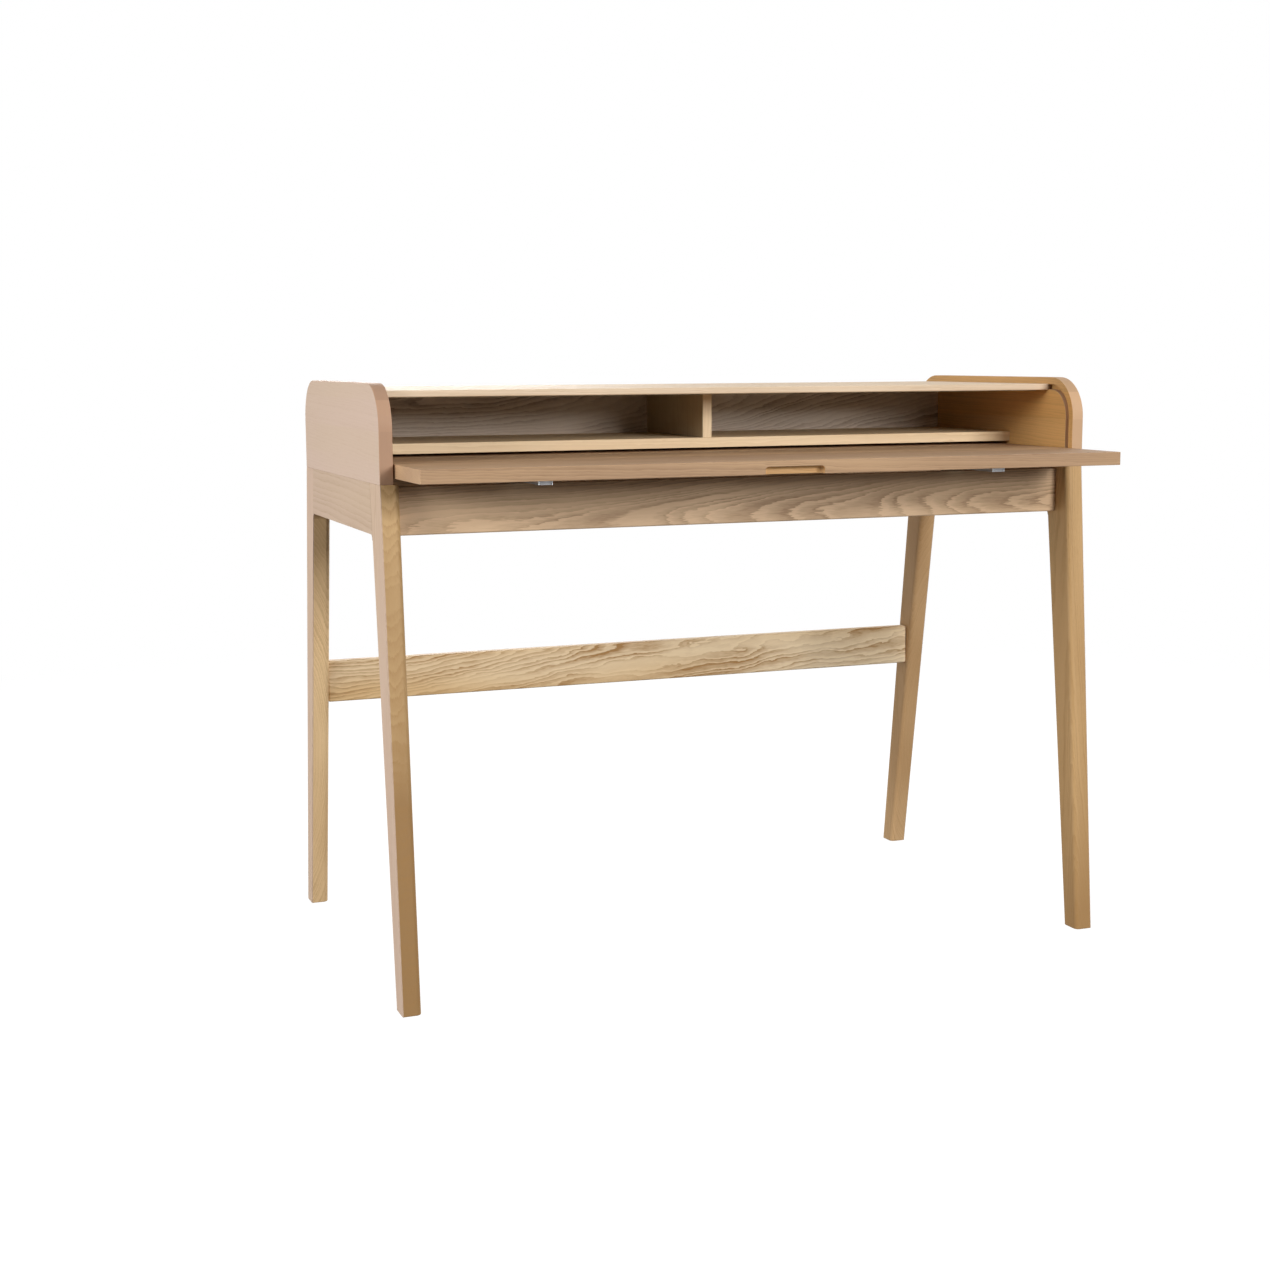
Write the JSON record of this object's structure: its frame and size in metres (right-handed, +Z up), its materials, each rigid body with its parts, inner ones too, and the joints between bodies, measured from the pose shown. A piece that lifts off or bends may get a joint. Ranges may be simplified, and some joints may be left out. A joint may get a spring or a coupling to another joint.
{
  "type": "tambour desk",
  "caption": "Writing desk with a slatted roll top running in grooved side panels, a divided shelf, splayed tapered legs and a writing surface that slides out on ball runners.",
  "frame": {"origin": "on the floor under the centre of the bounding box at rest, with the writing surface pulled out", "axes": "+X to the sitter's right, +Y from the sitter to the back of the desk, +Z up"},
  "size_m": [1.1, 0.6884, 0.85],
  "materials": {
    "oak_panel": "natural oak veneer, matt lacquer",
    "oak_leg": "solid natural oak, matt lacquer",
    "oak_rail": "natural oak, matt lacquer, horizontal grain",
    "oak_interior": "natural oak veneer, matt lacquer",
    "oak_worktop": "natural oak veneer, matt lacquer",
    "oak_tambour": "solid natural oak, matt lacquer",
    "canvas": "unbleached cotton canvas",
    "zinc_steel": "zinc-plated sheet steel",
    "screw_steel": "zinc-plated screw steel",
    "beech_tenon": "plain beech"
  },
  "bodies": {
    "carcass": {"front_leg_left": "oak_leg", "front_leg_right": "oak_leg", "back_leg_left": "oak_leg", "back_leg_right": "oak_leg", "side_rail_left": "oak_panel", "side_rail_right": "oak_panel", "side_panel_left": "oak_panel", "side_panel_right": "oak_panel", "front_apron": "oak_rail", "back_apron": "oak_rail", "stretcher": "oak_rail", "shelf": "oak_interior", "divider": "oak_interior", "back_panel": "oak_interior", "runner_bearer_left": "oak_rail", "runner_bearer_right": "oak_rail", "runner_fixed_left": "zinc_steel", "runner_fixed_right": "zinc_steel", "runner_screws_fixed": "screw_steel", "panel_tenons": "beech_tenon", "apron_tenons": "beech_tenon", "stretcher_tenons": "beech_tenon", "side_rail_tenons": "beech_tenon", "shelf_tenons": "beech_tenon"},
    "writing_surface": {"worktop": "oak_worktop", "runner_moving_left": "zinc_steel", "runner_moving_right": "zinc_steel", "runner_screws_moving": "screw_steel"},
    "ball_cage_left": {"ball_cage_left": "zinc_steel"},
    "ball_cage_right": {"ball_cage_right": "zinc_steel"},
    "tambour_top": {"tambour_slats_top": "oak_tambour", "tambour_canvas_top": "canvas"},
    "tambour_front": {"tambour_lead_rail": "oak_tambour", "tambour_slats_front": "oak_tambour", "tambour_canvas_front": "canvas"},
    "tambour_front_1": {"tambour_slat_front_1": "oak_tambour", "tambour_canvas_front_1": "canvas"},
    "tambour_front_2": {"tambour_slat_front_2": "oak_tambour", "tambour_canvas_front_2": "canvas"},
    "tambour_front_3": {"tambour_slat_front_3": "oak_tambour", "tambour_canvas_front_3": "canvas"},
    "tambour_back_1": {"tambour_slat_back_1": "oak_tambour", "tambour_canvas_back_1": "canvas"},
    "tambour_back_2": {"tambour_slat_back_2": "oak_tambour", "tambour_canvas_back_2": "canvas"},
    "tambour_back_3": {"tambour_slat_back_3": "oak_tambour", "tambour_canvas_back_3": "canvas"},
    "tambour_back": {"tambour_slats_back": "oak_tambour", "tambour_canvas_back": "canvas"}
  },
  "joints": [
    {"name": "writing_surface_slide", "type": "slide", "parent": "carcass", "child": "writing_surface", "axis": [0, 1, 0], "range_m": [0, 0.129]},
    {"name": "ball_cage_slide_left", "type": "slide", "parent": "carcass", "child": "ball_cage_left", "axis": [0, 1, 0], "range_m": [0, 0.0645]},
    {"name": "ball_cage_slide_right", "type": "slide", "parent": "carcass", "child": "ball_cage_right", "axis": [0, 1, 0], "range_m": [0, 0.0645]},
    {"name": "tambour_travel", "type": "slide", "parent": "carcass", "child": "tambour_top", "axis": [0, -1, 0], "range_m": [0, 0.1237]},
    {"name": "tambour_front_turn", "type": "hinge", "parent": "carcass", "child": "tambour_front", "pos_m": [0, -0.12871, 0.76349], "axis": [1, 0, 0], "range_deg": [0, 90], "deforming": ["tambour_lead_rail", "tambour_slats_front", "tambour_canvas_front"]},
    {"name": "tambour_front_1_turn", "type": "hinge", "parent": "carcass", "child": "tambour_front_1", "pos_m": [0, -0.11987, 0.73711], "axis": [1, 0, 0], "range_deg": [0, 67.5], "deforming": ["tambour_slat_front_1", "tambour_canvas_front_1"]},
    {"name": "tambour_front_2_turn", "type": "hinge", "parent": "carcass", "child": "tambour_front_2", "pos_m": [0, -0.11104, 0.68334], "axis": [1, 0, 0], "range_deg": [0, 45], "deforming": ["tambour_slat_front_2", "tambour_canvas_front_2"]},
    {"name": "tambour_front_3_turn", "type": "hinge", "parent": "carcass", "child": "tambour_front_3", "pos_m": [0, -0.1022, 0.52348], "axis": [1, 0, 0], "range_deg": [0, 22.5], "deforming": ["tambour_slat_front_3", "tambour_canvas_front_3"]},
    {"name": "tambour_back_1_turn", "type": "hinge", "parent": "carcass", "child": "tambour_back_1", "pos_m": [0, 0.1452, 0.52348], "axis": [1, 0, 0], "range_deg": [0, 22.5], "deforming": ["tambour_slat_back_1", "tambour_canvas_back_1"]},
    {"name": "tambour_back_2_turn", "type": "hinge", "parent": "carcass", "child": "tambour_back_2", "pos_m": [0, 0.15404, 0.68334], "axis": [1, 0, 0], "range_deg": [0, 45], "deforming": ["tambour_slat_back_2", "tambour_canvas_back_2"]},
    {"name": "tambour_back_3_turn", "type": "hinge", "parent": "carcass", "child": "tambour_back_3", "pos_m": [0, 0.16287, 0.73711], "axis": [1, 0, 0], "range_deg": [0, 67.5], "deforming": ["tambour_slat_back_3", "tambour_canvas_back_3"]},
    {"name": "tambour_back_turn", "type": "hinge", "parent": "carcass", "child": "tambour_back", "pos_m": [0, 0.17171, 0.76349], "axis": [1, 0, 0], "range_deg": [0, 90], "deforming": ["tambour_slats_back", "tambour_canvas_back"]}
  ],
  "couplings": [
    {"joint": "ball_cage_slide_left", "follows": "writing_surface_slide", "ratio": 0.5},
    {"joint": "ball_cage_slide_right", "follows": "writing_surface_slide", "ratio": 0.5},
    {"joint": "tambour_front_turn", "follows": "tambour_travel", "rad_per_m": 12.698},
    {"joint": "tambour_front_1_turn", "follows": "tambour_travel", "rad_per_m": 9.5238},
    {"joint": "tambour_front_2_turn", "follows": "tambour_travel", "rad_per_m": 6.3492},
    {"joint": "tambour_front_3_turn", "follows": "tambour_travel", "rad_per_m": 3.1746},
    {"joint": "tambour_back_1_turn", "follows": "tambour_travel", "rad_per_m": 3.1746},
    {"joint": "tambour_back_2_turn", "follows": "tambour_travel", "rad_per_m": 6.3492},
    {"joint": "tambour_back_3_turn", "follows": "tambour_travel", "rad_per_m": 9.5238},
    {"joint": "tambour_back_turn", "follows": "tambour_travel", "rad_per_m": 12.698}
  ]
}
